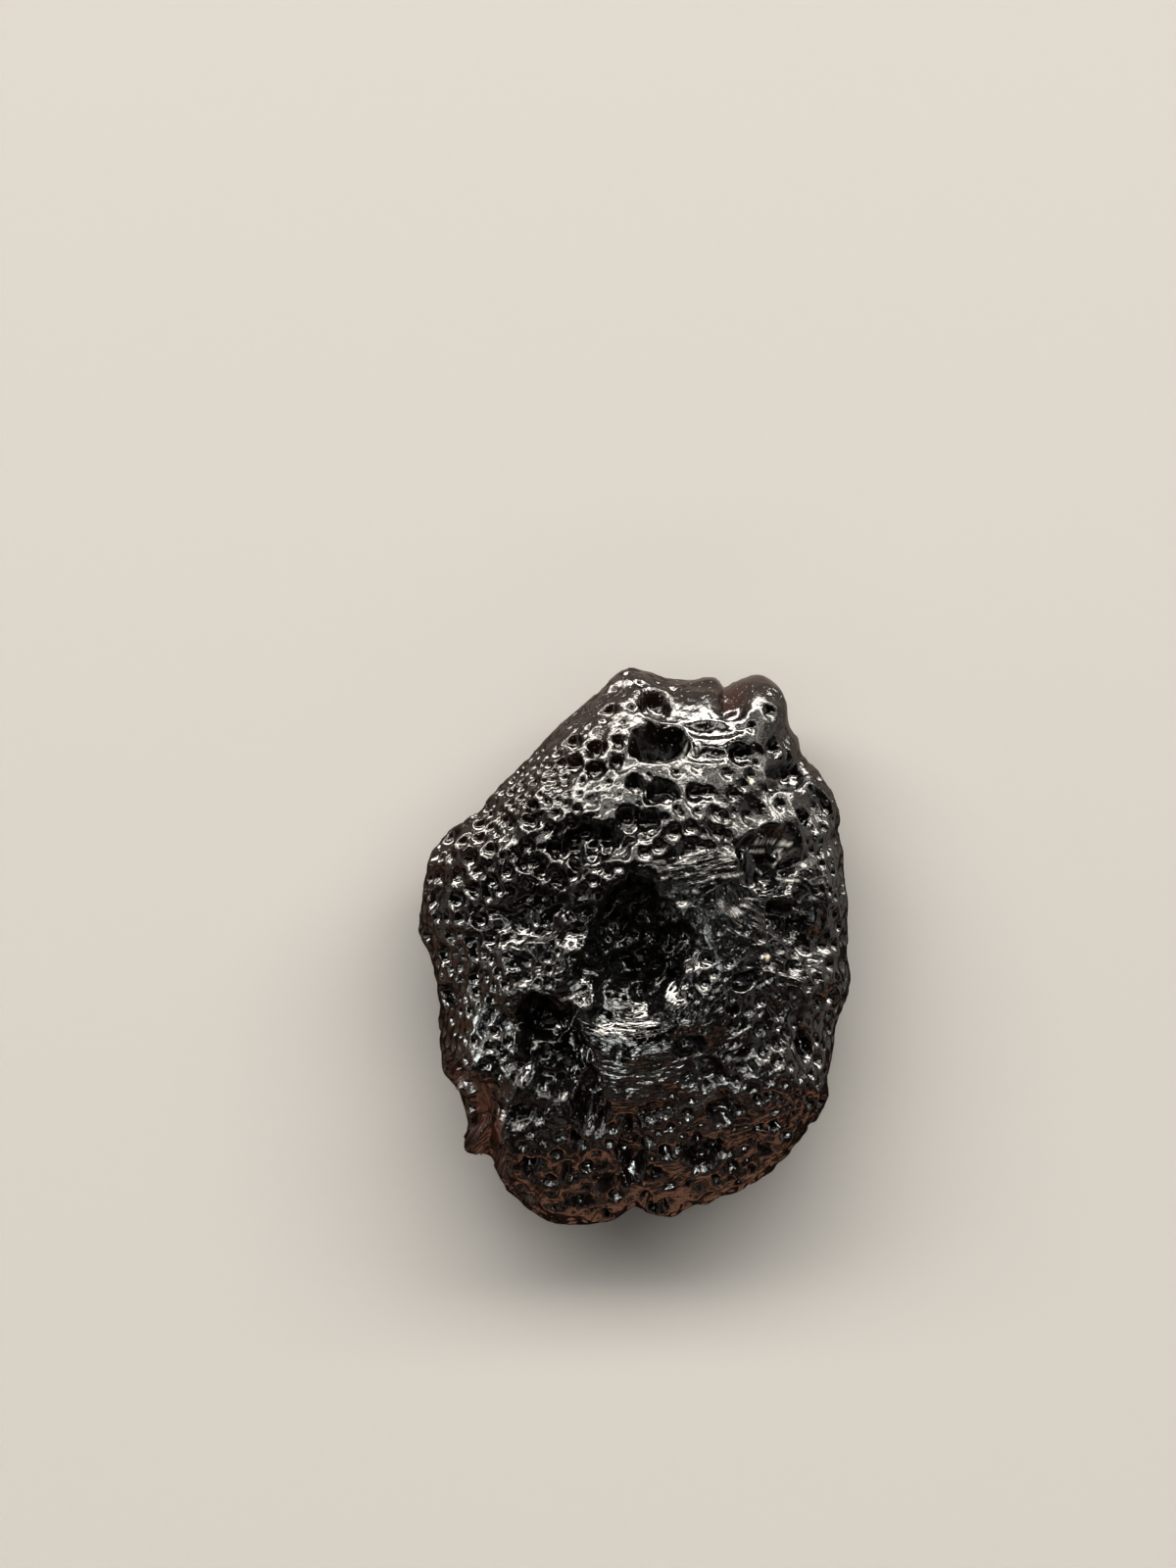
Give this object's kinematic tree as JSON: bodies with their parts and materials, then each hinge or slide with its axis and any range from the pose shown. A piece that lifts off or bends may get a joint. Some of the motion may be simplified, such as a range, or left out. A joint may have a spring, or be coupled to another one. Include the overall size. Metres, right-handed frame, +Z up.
{
  "type": "tektite",
  "caption": "Small egg-shaped stone of natural black glass, pitted all over, with deep rounded hollows on its upper face and a blunt end, resting on its back.",
  "frame": {"origin": "centre of the bounding box at its lowest level, on the small flat spot that the stone rests on", "axes": "+Y along the stone towards its blunt end, +Z up out of the pitted face"},
  "size_m": [0.013, 0.0168, 0.0085],
  "materials": {
    "black_glass": "gloss"
  },
  "bodies": {
    "root": {"tektite": "black_glass"}
  },
  "joints": []
}
